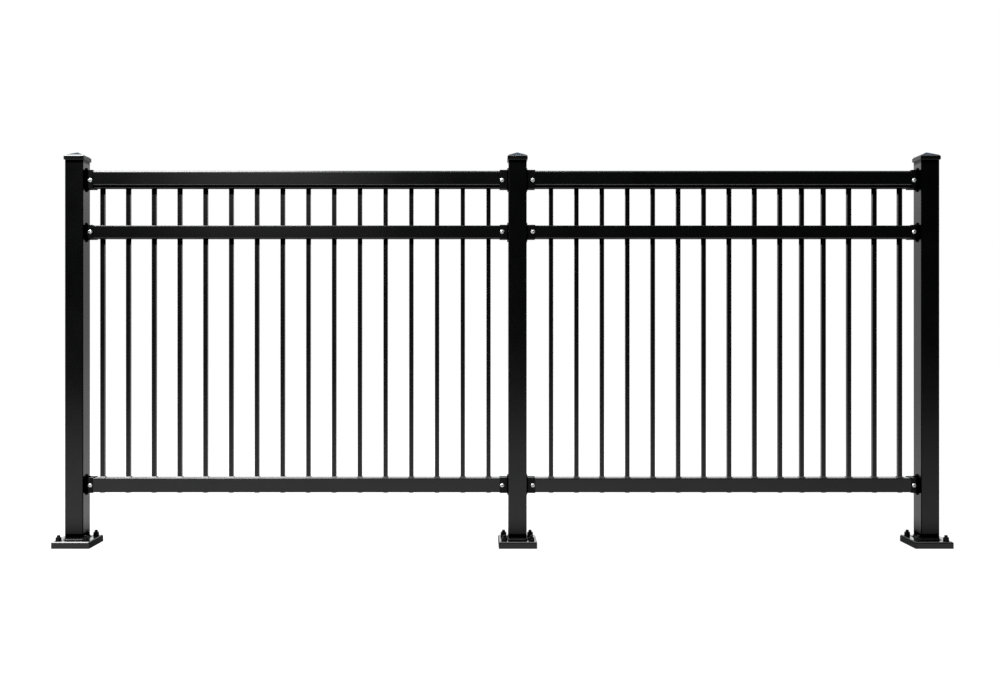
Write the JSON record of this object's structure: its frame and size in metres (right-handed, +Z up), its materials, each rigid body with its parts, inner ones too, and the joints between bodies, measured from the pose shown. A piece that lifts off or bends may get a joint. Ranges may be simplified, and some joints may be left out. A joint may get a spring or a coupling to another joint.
{
  "type": "steel fence with two panels",
  "caption": "Black powder-coated steel fence: capped square posts on bolted base plates, with panels of slim square pickets between rails held in screwed sockets.",
  "frame": {"origin": "centre of the underside of the middle post's base plate, at ground level", "axes": "+X along the fence to the right as seen from the front, -Y the front, +Z up"},
  "size_m": [3.101, 0.132, 1.372],
  "materials": {
    "post_coat": "satin black powder coat",
    "cap_coat": "satin black powder coat",
    "plate_coat": "satin black powder coat",
    "rail_coat": "satin black powder coat",
    "picket_coat": "satin black powder coat",
    "bracket_coat": "semi-matt black coat",
    "anchor_steel": "black oxide",
    "screw_steel": "bright stainless"
  },
  "bodies": {
    "root": {"left_anchor_nuts": "anchor_steel", "left_anchor_studs": "anchor_steel", "left_anchor_washers": "anchor_steel", "left_base_plate": "plate_coat", "left_bottom_rail": "rail_coat", "left_pickets": "picket_coat", "left_post": "post_coat", "left_post_bottom_bracket": "bracket_coat", "left_post_bracket_screws": "screw_steel", "left_post_cap": "cap_coat", "left_post_second_bracket": "bracket_coat", "left_post_top_bracket": "bracket_coat", "left_second_rail": "rail_coat", "left_top_channel": "rail_coat", "left_top_rail": "rail_coat", "middle_anchor_nuts": "anchor_steel", "middle_anchor_studs": "anchor_steel", "middle_anchor_washers": "anchor_steel", "middle_base_plate": "plate_coat", "middle_post": "post_coat", "middle_post_cap": "cap_coat", "middle_post_left_bottom_bracket": "bracket_coat", "middle_post_left_bracket_screws": "screw_steel", "middle_post_left_second_bracket": "bracket_coat", "middle_post_left_top_bracket": "bracket_coat", "middle_post_right_bottom_bracket": "bracket_coat", "middle_post_right_bracket_screws": "screw_steel", "middle_post_right_second_bracket": "bracket_coat", "middle_post_right_top_bracket": "bracket_coat", "right_anchor_nuts": "anchor_steel", "right_anchor_studs": "anchor_steel", "right_anchor_washers": "anchor_steel", "right_base_plate": "plate_coat", "right_bottom_rail": "rail_coat", "right_pickets": "picket_coat", "right_post": "post_coat", "right_post_bottom_bracket": "bracket_coat", "right_post_bracket_screws": "screw_steel", "right_post_cap": "cap_coat", "right_post_second_bracket": "bracket_coat", "right_post_top_bracket": "bracket_coat", "right_second_rail": "rail_coat", "right_top_channel": "rail_coat", "right_top_rail": "rail_coat"}
  },
  "joints": []
}
